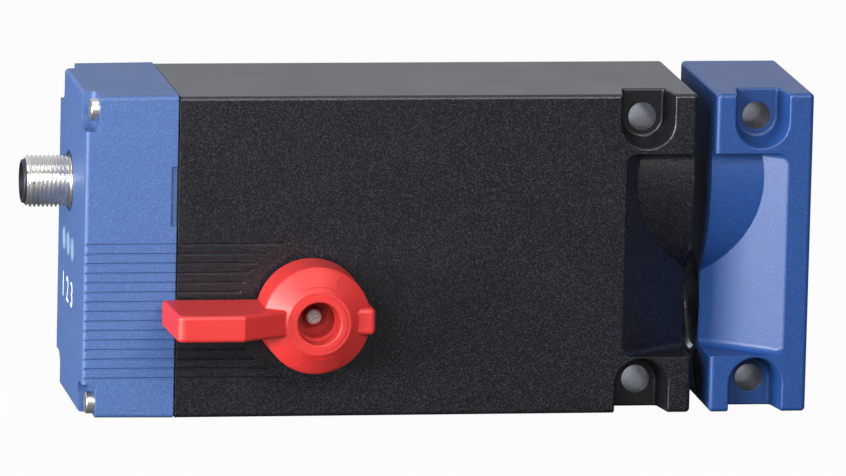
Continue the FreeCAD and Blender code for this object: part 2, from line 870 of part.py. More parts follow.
def solenoid_bobbin():
    x0 = solenoid_start + solenoid_plate + seat_gap
    x1 = solenoid_end - solenoid_plate - seat_gap
    half = solenoid_width / 2 - solenoid_plate - seat_gap
    r = plunger_r + plunger_gap
    body = rod_x(r + bobbin_wall, x0, x1, bolt_y, bolt_z)
    for x in (x0, x1 - bobbin_cheek):
        cheek = box(x, x + bobbin_cheek, bolt_y - half, bolt_y + half, bolt_z - half, bolt_z + half)
        body = body.fuse(cheek)
    return body.cut(rod_x(r, x0 - 1, x1 + 1, bolt_y, bolt_z))


def solenoid_coil():
    x0 = solenoid_start + solenoid_plate + bobbin_cheek + 3 * seat_gap
    x1 = solenoid_end - solenoid_plate - bobbin_cheek - 3 * seat_gap
    outer = rod_x(coil_r, x0, x1, bolt_y, bolt_z)
    return outer.cut(rod_x(plunger_r + plunger_gap + bobbin_wall + seat_gap, x0 - 1, x1 + 1, bolt_y, bolt_z))


def solenoid_core():
    core = rod_x(plunger_r, core_face, solenoid_end, bolt_y, bolt_z)
    return core.cut(rod_x(rod_r + rod_gap, core_face - 1, solenoid_end + 1, bolt_y, bolt_z))


def plunger():
    x0 = plunger_face - plunger_length
    body = rod_x(plunger_r, x0, plunger_face, bolt_y, bolt_z)
    body = body.makeChamfer(0.6, edges_where(body, lambda e: all_at(e, 0, x0)))
    return body.cut(rod_x(rod_r + seat_gap, plunger_face - rod_seat, plunger_face + 1, bolt_y, bolt_z))


def push_rod():
    return rod_x(rod_r, plunger_face - rod_seat + seat_gap, bolt_tail + rod_seat - seat_gap, bolt_y, bolt_z)


def locking_bolt():
    bolt = rod_x(bolt_r, bolt_tail, bolt_face, bolt_y, bolt_z)
    bolt = bolt.makeChamfer(bolt_nose_chamfer, edges_where(bolt, lambda e: all_at(e, 0, bolt_face)))
    return bolt.cut(rod_x(rod_r + seat_gap, bolt_tail - 1, bolt_tail + rod_seat, bolt_y, bolt_z))


def guide_bush():
    x0, x1 = x_cavity, x_end - wiper_thickness - wiper_inset - seat_gap
    bush = rod_x(bush_r, x0, x1, bolt_y, bolt_z)
    return bush.cut(rod_x(bolt_r + bolt_bush_gap, x0 - 1, x1 + 1, bolt_y, bolt_z))


def bolt_wiper():
    x0, x1 = x_end - wiper_thickness - wiper_inset + seat_gap, x_end - wiper_inset
    ring = rod_x(wiper_r, x0, x1, bolt_y, bolt_z)
    lip = cone_x(bolt_r + wiper_lip, bolt_r + bolt_bush_gap, x0 - 0.01, x1 + 0.01, bolt_y, bolt_z)
    return ring.cut(lip)


def spring_collar():
    x0 = bolt_tail
    collar = rod_x(collar_r, x0, x0 + collar_thickness, bolt_y, bolt_z)
    collar = collar.makeFillet(0.5, edges_where(collar, lambda e: all_at(e, 0, x0)))
    collar = collar.cut(rod_x(bolt_r + seat_gap, x0 - 1, x0 + collar_thickness + 1, bolt_y, bolt_z))
    hole = rod_z(magnet_r + seat_gap, bolt_z + bolt_r + magnet_from_bolt, bolt_z + collar_r + 1,
                 x0 + collar_thickness / 2, bolt_y)
    return collar.cut(hole)


def position_magnet():
    return rod_z(magnet_r, bolt_z + bolt_r + magnet_from_bolt + seat_gap, bolt_z + collar_r - 0.2,
                 bolt_tail + collar_thickness / 2, bolt_y)


def spring_half_turn(x0, x1, side):
    """Half a turn of round wire that climbs from x0 to x1 and starts above or below the axis."""
    centre = Vec((x0 + x1) / 2, bolt_y, bolt_z)
    start = Vec(x0, bolt_y, bolt_z + side * spring_mean_r)
    end = Vec(x1, bolt_y, bolt_z - side * spring_mean_r)
    axis = (end - start).cross(Vec(0, 1, 0)) * side
    wire = Part.Face(Part.Wire(Part.makeCircle(spring_wire_r, start, Vec(0, 1, 0))))
    return wire.revolve(centre, axis, 180)


def return_spring():
    """Coil spring between the collar and the end block, compressed when the bolt is out."""
    x0 = bolt_tail + collar_thickness + spring_end_gap + spring_wire_r
    x1 = x_cavity - spring_end_gap - spring_wire_r
    rise = (x1 - x0) / (2 * spring_turns)
    turns = [spring_half_turn(x0, x0, -1)]
    for i in range(2 * spring_turns):
        side = 1 if i % 2 == 0 else -1
        turns.append(spring_half_turn(x0 + i * rise, x0 + (i + 1) * rise, side))
    turns.append(spring_half_turn(x1, x1, 1))
    coil = turns[0].multiFuse(turns[1:])
    return coil.Solids[0]


def reader_coil():
    x0 = x_end - tag_depth + seat_gap
    disc = rod_x(tag_r, x0, x_end - 0.2, tag_y, tag_z)
    return disc.makeFillet(0.3, edges_where(disc, lambda e: all_at(e, 0, x_end - 0.2)))


def lever_plan(points, z_half):
    """Solid from a profile of distance along the arm and height off the front."""
    ring = [Vec(lever_x + r, y_front - h, lever_z - z_half) for r, h in points]
    return extrude(ring, Vec(0, 0, 2 * z_half))


def lever_turned():
    """Turned form of the lever: neck, disc, coned face, hub and stepped screw well."""
    hub_top = lever_hub_height + lever_hub_step
    profile = [
        (0, lever_rest_gap),
        (lever_neck_r, lever_rest_gap),
        (lever_neck_r, lever_lift),
        (lever_disc_r, lever_lift),
        (lever_disc_top_r, lever_rim_height),
        (lever_hub_r, lever_hub_height),
        (lever_hub_step_r, lever_hub_height),
        (lever_hub_step_r, hub_top),
        (lever_well_r, hub_top),
        (lever_well_r, lever_well_ledge),
        (lever_well_inner_r, lever_well_ledge),
        (lever_well_inner_r, lever_hole_floor),
        (0, lever_hole_floor),
    ]
    ring = [Vec(lever_x + r, y_front - h, lever_z) for r, h in profile]
    face = Part.Face(Part.makePolygon(ring + [ring[0]]))
    body = face.revolve(Vec(lever_x, 0, lever_z), Vec(0, 1, 0), 360)
    body = body.makeFillet(lever_edge_soft, circle_edges(body, lever_rim_height, lever_disc_top_r))
    return body.makeFillet(lever_well_soft, circle_edges(body, hub_top, lever_well_r))


def circle_edges(shape, h, r):
    """Circular edges of one radius at one height off the front."""
    level = edges_where(shape, lambda e: all_at(e, 1, y_front - h))
    return [e for e in level if abs(getattr(e.Curve, "Radius", 0) - r) < 1e-6]


def lever_arm():
    half = lever_arm_width / 2
    tip = lever_arm_reach - lever_tip_draft
    points = [
        (-lever_arm_reach, lever_lift),
        (-tip, lever_arm_height),
        (-lever_arm_flat_from, lever_arm_height),
        (-lever_arm_root, lever_arm_root_height),
        (-lever_arm_root, lever_lift),
    ]
    arm = lever_plan(points, half)
    nose = edges_where(arm, lambda e: all_at(e, 0, lever_x - tip))
    arm = arm.makeFillet(lever_tip_round, nose)
    soft = []
    for edge in arm.Edges:
        mid = middle(edge)
        out = y_front - mid.y > lever_lift + 0.5
        on_side = abs(abs(mid.z - lever_z) - half) < 1e-6
        on_crest = abs(mid.x - lever_x + lever_arm_flat_from) < 1e-6
        if out and mid.x < lever_x - lever_arm_root - 0.2 and (on_side or on_crest):
            soft.append(edge)
    return arm.makeFillet(lever_arm_soft, soft)


def lever_stub():
    """Short soft-edged lug opposite the arm."""
    half = lever_arm_width / 2
    stub = box(lever_x + lever_stub_from, lever_x + lever_stub_reach, y_front - lever_stub_height,
               y_front - lever_lift, lever_z - half, lever_z + half)
    soft = edges_where(stub, lambda e: not all_at(e, 0, lever_x + lever_stub_from)
                       and not all_at(e, 1, y_front - lever_lift))
    return stub.makeFillet(lever_stub_round, soft)


def lever_arrow(start_deg):
    """Raised curved arrow with a notched tail that lies on the coned face."""
    mid_r = (arrow_inner_r + arrow_outer_r) / 2
    y0 = y_front - lever_hub_height - 1

    def at(r, deg):
        turn = math.radians(start_deg + deg)
        return Vec(lever_x + r * math.cos(turn), y0, lever_z + r * math.sin(turn))

    def arc(r, a, b):
        return Part.Arc(at(r, a), at(r, (a + b) / 2), at(r, b)).toShape()

    tail, notch, neck = arrow_tail_deg, arrow_notch_deg, arrow_neck_deg
    edges = [
        arc(arrow_outer_r, tail, neck),
        Part.makeLine(at(arrow_outer_r, neck), at(mid_r, arrow_point_deg)),
        Part.makeLine(at(mid_r, arrow_point_deg), at(arrow_inner_r, neck)),
        arc(arrow_inner_r, neck, tail),
        Part.makeLine(at(arrow_inner_r, tail), at(mid_r, notch)),
        Part.makeLine(at(mid_r, notch), at(arrow_outer_r, tail)),
    ]
    prism = Part.Face(Part.Wire(edges)).extrude(Vec(0, lever_hub_height - lever_lift, 0))
    raised = cone_y(lever_hub_r, lever_disc_top_r, y_front - lever_hub_height - arrow_height,
                    y_front - lever_rim_height - arrow_height, lever_x, lever_z)
    return prism.common(raised)


def release_lever():
    body = lever_turned().fuse(lever_stub()).fuse(lever_arm())
    for start in (90, 270):
        body = body.fuse(lever_arrow(start))
    half = shaft_square / 2 + seat_gap
    body = body.cut(box(lever_x - half, lever_x + half, y_front - lever_hole_floor + lever_web, y_front,
                        lever_z - half, lever_z + half))
    return body.cut(rod_y(lever_screw_r + lever_screw_pass_gap, y_front - lever_hole_floor - 1, y_front,
                          lever_x, lever_z))


def lever_screw():
    y_seat = y_front - lever_hole_floor
    y_top = y_seat - lever_screw_head
    head = rod_y(lever_screw_head_r, y_top, y_seat - seat_gap, lever_x, lever_z)
    head = head.makeFillet(lever_screw_head_round, edges_where(head, lambda e: all_at(e, 1, y_top)))
    half = lever_screw_drive_width / 2
    for turn in (0, 60, 120):
        arm = box(lever_x - lever_screw_drive_r, lever_x + lever_screw_drive_r, y_top - 1,
                  y_top + lever_screw_drive_depth, lever_z - half, lever_z + half)
        arm.rotate(Vec(lever_x, 0, lever_z), Vec(0, 1, 0), turn)
        head = head.cut(arm)
    shank_from = y_top + lever_screw_drive_depth + half
    return head.fuse(rod_y(lever_screw_r, shank_from, y_seat + lever_screw_grip, lever_x, lever_z))


def seal_y():
    return y_inner - 0.4


def clip_y():
    return y_inner + shaft_boss_length + 0.1


def lever_shaft():
    y_square = y_front - lever_hole_floor + lever_web + seat_gap
    y_end = y_front + shaft_inner_end
    shaft = rod_y(shaft_r, y_front - lever_rest_gap, y_end, lever_x, lever_z)
    half = shaft_square / 2
    shaft = shaft.fuse(box(lever_x - half, lever_x + half, y_square, y_front, lever_z - half, lever_z + half))
    groove = rod_y(shaft_r + 1, seal_y() - shaft_seal_groove / 2, seal_y() + shaft_seal_groove / 2,
                   lever_x, lever_z)
    groove = groove.cut(rod_y(shaft_r - shaft_seal_wire + 0.1, seal_y() - 2, seal_y() + 2, lever_x, lever_z))
    shaft = shaft.cut(groove)
    notch = rod_y(shaft_r + 1, clip_y(), clip_y() + clip_thickness + 2 * seat_gap, lever_x, lever_z)
    notch = notch.cut(rod_y(shaft_r - clip_groove_depth, clip_y() - 1, clip_y() + 2, lever_x, lever_z))
    shaft = shaft.cut(notch)
    shaft = shaft.cut(rod_y(lever_screw_r + seat_gap, y_square - 1,
                            y_front - lever_hole_floor + lever_screw_grip + 1, lever_x, lever_z))
    flat = box(lever_x - 5, lever_x + 5, cam_y - seat_gap, y_end + 1, lever_z - 5, lever_z - shaft_r + shaft_flat)
    return shaft.cut(flat)


def shaft_seal():
    r = shaft_r - shaft_seal_wire + 0.1 + seat_gap + (shaft_seal_wire - 0.1) / 2
    return Part.makeTorus(r, (shaft_seal_wire - 0.1) / 2, Vec(lever_x, seal_y(), lever_z), Vec(0, 1, 0))


def shaft_clip():
    y0 = clip_y() + seat_gap
    ring = rod_y(clip_outer_r, y0, y0 + clip_thickness, lever_x, lever_z)
    ring = ring.cut(rod_y(shaft_r - clip_groove_depth + seat_gap, y0 - 1, y0 + 2, lever_x, lever_z))
    mouth = box(lever_x - 2.4, lever_x + 2.4, y0 - 1, y0 + 2, lever_z - clip_outer_r - 1, lever_z)
    return ring.cut(mouth)


def release_cam():
    """Cam whose edge rises evenly with the turn, so the button follows at a constant rate."""
    rate = cam_rise / cam_turn_deg
    start = 90 - cam_lead_deg / 2
    stop = 90 + cam_turn_deg + cam_lead_deg / 2
    steps = 12
    curve = []
    for i in range(steps + 1):
        deg = start + (stop - start) * i / steps
        r = cam_start_r + rate * (deg - 90)
        turn = math.radians(deg)
        curve.append(Vec(lever_x - r * math.cos(turn), cam_y, lever_z + r * math.sin(turn)))
    edge = Part.BSplineCurve()
    edge.interpolate(curve)
    centre = Vec(lever_x, cam_y, lever_z)
    closing = Part.makeLine(curve[-1], centre)
    opening = Part.makeLine(centre, curve[0])
    face = Part.Face(Part.Wire([edge.toShape(), closing, opening]))
    lobe = face.extrude(Vec(0, cam_thickness, 0))
    cam = lobe.fuse(rod_y(cam_hub_r, cam_y, cam_y + cam_thickness, lever_x, lever_z))
    hole = rod_y(shaft_r + seat_gap, cam_y - 1, cam_y + cam_thickness + 1, lever_x, lever_z)
    flat = box(lever_x - 5, lever_x + 5, cam_y - 1, cam_y + cam_thickness + 1,
               lever_z - 5, lever_z - shaft_r + shaft_flat - seat_gap)
    return cam.cut(hole.cut(flat))


def button_low():
    return lever_z + cam_start_r + switch_button_gap


def switch_low():
    return button_low() + cam_rise + switch_button_out


def release_switch():
    y0 = cam_y - (switch_width - cam_thickness) / 2
    x0 = lever_x - switch_length / 2
    z0 = switch_low()
    body = rounded_box(x0, x0 + switch_length, y0 + seat_gap, y0 + switch_width, z0,
                       z0 + switch_height, 0.8, 1)
    y_mid = cam_y + cam_thickness / 2
    body = body.cut(rod_z(switch_button_r + switch_button_fit, z0 - 1, z0 + 3 + cam_rise, lever_x, y_mid))
    for x, z in switch_screw_places():
        body = body.cut(rod_y(switch_screw_r + print_gap, y0 - 1, y0 + switch_width + 1, x, z))
    return body


def switch_button():
    y_mid = cam_y + cam_thickness / 2
    z0 = button_low()
    pin = rod_z(switch_button_r, z0 + switch_button_r, switch_low() + 2.5, lever_x, y_mid)
    return pin.fuse(Part.makeSphere(switch_button_r, Vec(lever_x, y_mid, z0 + switch_button_r)))


def switch_screws():
    y1 = cam_y - (switch_width - cam_thickness) / 2 + switch_width + seat_gap
    screws = []
    for x, z in switch_screw_places():
        head = slotted_head(switch_screw_head_r, switch_screw_head, y1, 1, x, z)
        shank = rod_y(switch_screw_r, y1 - switch_width - switch_screw_grip, y1 + switch_screw_head / 3, x, z)
        screws.append(head.fuse(shank))
    return Part.makeCompound(screws)


def actuator_body():
    body = box(x_act, x_act_end, y_front, 0, z_bottom, z_top)
    body = body.makeFillet(edge_round, body.Edges)
    tool = recess_tool(x_act, -1, actuator_recess_length, actuator_recess_depth, actuator_crest_depth)
    body = body.cut(soften_recess(tool, x_act, -1))
    for side in (-1, 1):
        body = body.cut(screw_pocket(act_screw_x, side))
        body = body.cut(screw_hole(act_screw_x, side, actuator_web))
    body = round_pocket_mouths(body.removeSplitter(), act_screw_x)
    body = body.cut(rod_x(socket_r + seat_gap, x_act - 1, x_act + socket_depth, bolt_y, bolt_z))
    body = body.cut(rod_x(socket_deep_r, x_act, x_act + socket_total_depth, bolt_y, bolt_z))
    return body.cut(rod_x(tag_r + seat_gap, x_act - 1, x_act + tag_depth, tag_y, tag_z))


def bolt_socket():
    x0, x1 = x_act + 0.1, x_act + socket_depth - seat_gap
    ring = rod_x(socket_r, x0, x1, bolt_y, bolt_z)
    inner = socket_r - socket_chamfer
    ring = ring.cut(rod_x(inner, x0 - 1, x1 + 1, bolt_y, bolt_z))
    return ring.cut(cone_x(socket_r - 0.15, inner, x0, x0 + socket_chamfer, bolt_y, bolt_z))


def coding_tag():
    disc = rod_x(tag_r, x_act + 0.2, x_act + tag_depth - seat_gap, tag_y, tag_z)
    return disc.makeFillet(0.3, edges_where(disc, lambda e: all_at(e, 0, x_act + 0.2)))


makers = [
    main_housing, end_cover, cover_gasket, cover_screws,
    connector_shell, connector_insert, connector_pins, connector_nut, connector_seal,
    light_pipe, led_board, leds, main_board, board_components, board_screws, position_sensor,
    solenoid_frame, solenoid_bobbin, solenoid_coil, solenoid_core, plunger, push_rod,
    locking_bolt, guide_bush, bolt_wiper, spring_collar, position_magnet, return_spring,
    reader_coil, release_lever, lever_screw, lever_shaft, shaft_seal, shaft_clip,
    release_cam, release_switch, switch_button, switch_screws,
    actuator_body, bolt_socket, coding_tag,
]
for maker in makers:
    write(maker.__name__, maker())
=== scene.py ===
import bmesh
import bpy
import json
from math import cos, pi, radians, sin
from mathutils import Matrix, Vector


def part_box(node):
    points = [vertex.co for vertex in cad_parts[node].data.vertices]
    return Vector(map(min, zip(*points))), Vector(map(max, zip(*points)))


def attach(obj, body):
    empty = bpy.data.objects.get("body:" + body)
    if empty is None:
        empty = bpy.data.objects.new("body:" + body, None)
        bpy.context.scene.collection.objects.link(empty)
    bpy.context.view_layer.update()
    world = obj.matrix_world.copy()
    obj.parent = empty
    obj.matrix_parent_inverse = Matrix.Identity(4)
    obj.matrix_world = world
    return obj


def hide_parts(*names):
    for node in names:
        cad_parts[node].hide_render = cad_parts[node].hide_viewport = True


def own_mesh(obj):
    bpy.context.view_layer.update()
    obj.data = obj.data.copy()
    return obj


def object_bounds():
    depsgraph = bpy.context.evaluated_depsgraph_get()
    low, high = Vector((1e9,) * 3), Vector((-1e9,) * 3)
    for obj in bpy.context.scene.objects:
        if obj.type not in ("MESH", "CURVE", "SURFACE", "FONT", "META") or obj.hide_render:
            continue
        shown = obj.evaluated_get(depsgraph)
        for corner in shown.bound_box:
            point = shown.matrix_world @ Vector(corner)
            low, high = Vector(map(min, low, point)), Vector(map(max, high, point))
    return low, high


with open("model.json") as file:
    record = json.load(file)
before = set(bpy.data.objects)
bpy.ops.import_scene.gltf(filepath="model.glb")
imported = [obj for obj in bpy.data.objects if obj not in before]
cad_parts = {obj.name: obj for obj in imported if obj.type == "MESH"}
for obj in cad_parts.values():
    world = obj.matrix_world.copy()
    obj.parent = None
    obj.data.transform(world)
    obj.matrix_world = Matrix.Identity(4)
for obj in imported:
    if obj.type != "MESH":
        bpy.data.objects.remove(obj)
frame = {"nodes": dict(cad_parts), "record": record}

# Bolt-type guard interlock and its actuator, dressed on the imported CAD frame.
# Blender works in metres here, so every size in millimetres is multiplied by mm.
mm = 0.001
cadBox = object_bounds()


def toLinear(hexColour):
    channels = [int(hexColour[i:i + 2], 16) / 255 for i in (1, 3, 5)]
    linear = [c / 12.92 if c <= 0.04045 else ((c + 0.055) / 1.055) ** 2.4 for c in channels]
    return (*linear, 1.0)


def perMm(size):
    # texture scale that gives features about this many millimetres across
    return 1 / (size * mm)


def wavePerMm(size):
    # a wave texture repeats 20 / (2 pi) times in each unit of its scale
    return 2 * pi / 20 * perMm(size)


def addNode(tree, kind, settings=None, links=None):
    # settings hold inputs and properties of the node, links hold inputs;
    # an input goes by its number where several share a name, as 6 and 7 do, the two colours of a mix
    node = tree.nodes.new(kind)
    for name, value in (settings or {}).items():
        if isinstance(name, int) or name in node.inputs:
            node.inputs[name].default_value = value
        else:
            setattr(node, name, value)
    for name, source in (links or {}).items():
        tree.links.new(source, node.inputs[name])
    return node


def startMaterial(name, colour, roughness, metallic=0.0, ior=None):
    mat = bpy.data.materials.new(name)
    mat.use_nodes = True
    tree = mat.node_tree
    tree.nodes.clear()
    settings = {"Base Color": toLinear(colour), "Roughness": roughness, "Metallic": metallic}
    if ior:
        settings["IOR"] = ior
    shader = addNode(tree, "ShaderNodeBsdfPrincipled", settings)
    output = addNode(tree, "ShaderNodeOutputMaterial")
    tree.links.new(shader.outputs["BSDF"], output.inputs["Surface"])
    place = addNode(tree, "ShaderNodeTexCoord").outputs["Object"]
    return mat, tree, shader, place


def useColours(tree, shader, factor, dark, light):
    mix = addNode(tree, "ShaderNodeMix", {"data_type": "RGBA", 6: toLinear(dark), 7: toLinear(light)},
                  {0: factor})
    tree.links.new(mix.outputs[2], shader.inputs["Base Color"])


def useRoughness(tree, shader, factor, low, high):
    spread = addNode(tree, "ShaderNodeMapRange", {"To Min": low, "To Max": high}, {"Value": factor})
    tree.links.new(spread.outputs["Result"], shader.inputs["Roughness"])


def useBump(tree, shader, height, depthMm, edgeMm=None):
    # with an edge size, sharp edges also catch the light as if worn round by that much
    links = {"Height": height}
    if edgeMm:
        worn = addNode(tree, "ShaderNodeBevel", {"samples": 4, "Radius": edgeMm * mm})
        links["Normal"] = worn.outputs[0]
    bump = addNode(tree, "ShaderNodeBump", {"Distance": depthMm * mm}, links)
    tree.links.new(bump.outputs["Normal"], shader.inputs["Normal"])


print("camera")

# The photo was taken from a good two metres, a little left of the front and a little above it
photoView = {
    "aimMm": (-45.0, -23.0, 0.0),
    "azimuthDeg": -9.67,
    "elevationDeg": 10.71,
    "rollDeg": 1.36,
    "distanceMm": 2369.0,
    "slideRightMm": -3.2,
    "slideUpMm": -0.25,
    "focalPx": 10183.0,
    "frameWidthPx": 846,
    "sensorMm": 36.0,
    "seesFromM": 0.05,
    "seesToM": 30.0,
}


def makeCamera(look):
    azimuth, elevation, roll = (radians(look[k]) for k in ("azimuthDeg", "elevationDeg", "rollDeg"))
    away = Vector((sin(azimuth) * cos(elevation), -cos(azimuth) * cos(elevation), sin(elevation)))
    right = Vector((0, 0, 1)).cross(away).normalized()
    up = away.cross(right)
    tiltedRight = cos(roll) * right + sin(roll) * up
    tiltedUp = cos(roll) * up - sin(roll) * right
    aim = Vector(look["aimMm"]) + look["slideRightMm"] * right + look["slideUpMm"] * up
    place = (aim + look["distanceMm"] * away) * mm
    data = bpy.data.cameras.new("photoCamera")
    data.sensor_fit = "HORIZONTAL"
    data.sensor_width = look["sensorMm"]
    data.lens = look["focalPx"] / look["frameWidthPx"] * look["sensorMm"]
    data.clip_start = look["seesFromM"]
    data.clip_end = look["seesToM"]
    camera = bpy.data.objects.new("photoCamera", data)
    turn = Matrix((tiltedRight, tiltedUp, away)).transposed().to_4x4()
    camera.matrix_world = Matrix.Translation(place) @ turn
    bpy.context.scene.collection.objects.link(camera)
    bpy.context.scene.camera = camera


makeCamera(photoView)

print("studio")

studio = {
    "floorDark": "#525253",
    "floorLight": "#5c5c5d",
    "floorRoughness": 0.9,
    "fibreMm": 3.0,
    "floorGlow": 0.965,  # share of white that the camera sees on the floor
    "floorHalfM": 6.0,
    "floorGapMm": 0.05,
    "frontWall": 0.03,
    "backWall": 0.85,
    "wallTint": "#eef2fc",
    "dimUpTo": -0.2,  # how far a direction points backwards, from -1 in front to 1 behind the object
    "paleFrom": 0.4,
    "lampAimMm": (-45.0, -23.0, 0.0),
    "lamps": [
        {"name": "keyLeft", "at": (-0.53, -0.73, 0.31), "wideM": 0.4, "highM": 0.4, "watts": 7.8},
        {"name": "fillFront", "at": (0.2, -1.2, 0.7), "wideM": 0.6, "highM": 0.5, "watts": 11.0},
        {"name": "sideLeft", "at": (-0.98, -0.42, 0.06), "wideM": 0.35, "highM": 0.2, "watts": 15.5},
        {"name": "overhead", "at": (-0.1, -0.25, 0.95), "wideM": 0.6, "highM": 0.5, "watts": 2.5},
    ],
}


def seenDirectly(tree):
    # one for what the camera sees, also through glass, and nought for the light that falls on the object
    path = addNode(tree, "ShaderNodeLightPath")
    either = addNode(tree, "ShaderNodeMath", {"operation": "MAXIMUM"},
                     {0: path.outputs["Is Camera Ray"], 1: path.outputs["Is Transmission Ray"]})
    return either.outputs[0]


def makeWorld(look):
    world = bpy.data.worlds.new("paleStudio")
    world.use_nodes = True
    tree = world.node_tree
    tree.nodes.clear()
    # the room is dim towards the photographer and pale behind the object
    towards = addNode(tree, "ShaderNodeTexCoord").outputs["Generated"]
    split = addNode(tree, "ShaderNodeSeparateXYZ", None, {0: towards})
    room = addNode(tree, "ShaderNodeMapRange",
                   {"From Min": look["dimUpTo"], "From Max": look["paleFrom"],
                    "To Min": look["frontWall"], "To Max": look["backWall"]}, {"Value": split.outputs[1]})
    seen = seenDirectly(tree)
    strength = addNode(tree, "ShaderNodeMath", {"operation": "MAXIMUM"}, {0: room.outputs[0], 1: seen})
    tint = addNode(tree, "ShaderNodeMix",
                   {"data_type": "RGBA", 6: toLinear(look["wallTint"]), 7: (1, 1, 1, 1)}, {0: seen})
    light = addNode(tree, "ShaderNodeBackground", None,
                    {"Color": tint.outputs[2], "Strength": strength.outputs[0]})
    output = addNode(tree, "ShaderNodeOutputWorld")
    tree.links.new(light.outputs[0], output.inputs["Surface"])
    bpy.context.scene.world = world


def makeFloor(look):
    half = look["floorHalfM"]
    z = cadBox[0][2] - look["floorGapMm"] * mm
    mesh = bpy.data.meshes.new("studioFloor")
    corners = [(-half, -half, z), (half, -half, z), (half, half, z), (-half, half, z)]
    mesh.from_pydata(corners, [], [(0, 1, 2, 3)])
    floor = bpy.data.objects.new("studioFloor", mesh)
    bpy.context.scene.collection.objects.link(floor)
    mat, tree, shader, place = startMaterial("palePaperFloor", look["floorLight"], look["floorRoughness"])
    fibre = addNode(tree, "ShaderNodeTexNoise", {"Scale": perMm(look["fibreMm"]), "Detail": 3.0},
                    {"Vector": place})
    useColours(tree, shader, fibre.outputs[0], look["floorDark"], look["floorLight"])
    # the camera sees the paper blown out to white, with only a trace of the shadow on it
    glow = addNode(tree, "ShaderNodeEmission", {"Color": (1, 1, 1, 1), "Strength": 1.0})
    share = addNode(tree, "ShaderNodeMath", {"operation": "MULTIPLY", 1: look["floorGlow"]},
                    {0: seenDirectly(tree)})
    blend = addNode(tree, "ShaderNodeMixShader", None,
                    {0: share.outputs[0], 1: shader.outputs["BSDF"], 2: glow.outputs[0]})
    tree.links.new(blend.outputs[0], tree.nodes["Material Output"].inputs["Surface"])
    mesh.materials.append(mat)


def makeLamps(look):
    aim = Vector(look["lampAimMm"]) * mm
    for lamp in look["lamps"]:
        data = bpy.data.lights.new(lamp["name"], "AREA")
        data.shape = "RECTANGLE"
        data.size = lamp["wideM"]
        data.size_y = lamp["highM"]
        data.energy = lamp["watts"]
        light = bpy.data.objects.new(lamp["name"], data)
        light.location = lamp["at"]
        light.rotation_euler = (aim - light.location).to_track_quat("-Z", "Y").to_euler()
        bpy.context.scene.collection.objects.link(light)


makeWorld(studio)
makeFloor(studio)
makeLamps(studio)
bpy.context.scene.view_settings.view_transform = "Standard"

# One material for each material slot of the record
finishes = {}

print("coats")

# Fine-texture polyester powder coat on die-cast aluminium: sandy grains that glint one by one; the pale
# flecks in its colour are partly the coat's own speckle and partly painted glints
coats = {
    "black_coat": {"name": "blackPowderCoat", "body": "#050507", "fleckAndGlint": "#2a2a34", "grainMm": 0.27,
                   "grainDepthMm": 0.05, "edgeMm": 0.2, "roughness": 0.34, "holeXMm": 0.0},
    "blue_cover_coat": {"name": "paleBluePowderCoat", "body": "#355080", "fleckAndGlint": "#456398", "grainMm": 0.27,
                        "grainDepthMm": 0.04, "edgeMm": 0.25, "roughness": 0.5, "holeXMm": None},
    "blue_coat": {"name": "deepBluePowderCoat", "body": "#16396f", "fleckAndGlint": "#1f488a", "grainMm": 0.27,
                  "grainDepthMm": 0.04, "edgeMm": 0.25, "roughness": 0.42, "holeXMm": 26.9},
}
coatTexture = {"ior": 1.5, "fleckAndGlintFrom": 0.53, "fleckAndGlintTo": 0.63, "cloudMm": 18.0, "glossSpread": 0.05}

# The mounting holes are drilled after coating, so they show bare grey metal in the streaky cut of a drill
bareHole = {"heightMm": 31.0, "radiusMm": 4.3, "seatMm": -37.8, "seatMarginMm": 0.15, "streakMm": 1.6,
            "dark": "#3c3e42", "bright": "#d6d9de"}


def holeMask(tree, place, look, xMm):
    # one inside the two holes, nought on the coat around them
    shift = addNode(tree, "ShaderNodeVectorMath", {"operation": "SUBTRACT", 1: (xMm * mm, 0, 0)}, {0: place})
    folded = addNode(tree, "ShaderNodeVectorMath", {"operation": "ABSOLUTE"}, {0: shift.outputs[0]})
    offset = addNode(tree, "ShaderNodeVectorMath",
                     {"operation": "SUBTRACT", 1: (0, 0, look["heightMm"] * mm)}, {0: folded.outputs[0]})
    flat = addNode(tree, "ShaderNodeVectorMath", {"operation": "MULTIPLY", 1: (1, 0, 1)},
                   {0: offset.outputs[0]})
    away = addNode(tree, "ShaderNodeVectorMath", {"operation": "LENGTH"}, {0: flat.outputs[0]})
    inside = addNode(tree, "ShaderNodeMath", {"operation": "LESS_THAN", 1: look["radiusMm"] * mm},
                     {0: away.outputs["Value"]})
    split = addNode(tree, "ShaderNodeSeparateXYZ", None, {0: place})
    behind = addNode(tree, "ShaderNodeMath",
                     {"operation": "GREATER_THAN", 1: (look["seatMm"] + look["seatMarginMm"]) * mm},
                     {0: split.outputs[1]})
    both = addNode(tree, "ShaderNodeMath", {"operation": "MULTIPLY"},
                   {0: inside.outputs[0], 1: behind.outputs[0]})
    return both.outputs[0]


def bareTheHoles(tree, shader, place, look, xMm):
    mask = holeMask(tree, place, look, xMm)
    streaks = addNode(tree, "ShaderNodeTexNoise",
                      {"Scale": perMm(look["streakMm"]), "Detail": 4.0, "Distortion": 2.5}, {"Vector": place})
    metal = addNode(tree, "ShaderNodeMix",
                    {"data_type": "RGBA", 6: toLinear(look["dark"]), 7: toLinear(look["bright"])},
                    {0: streaks.outputs[0]})
    coat = shader.inputs["Base Color"].links[0].from_socket
    paint = addNode(tree, "ShaderNodeMix", {"data_type": "RGBA"}, {0: mask, 6: coat, 7: metal.outputs[2]})
    tree.links.new(paint.outputs[2], shader.inputs["Base Color"])
    tree.links.new(mask, shader.inputs["Metallic"])


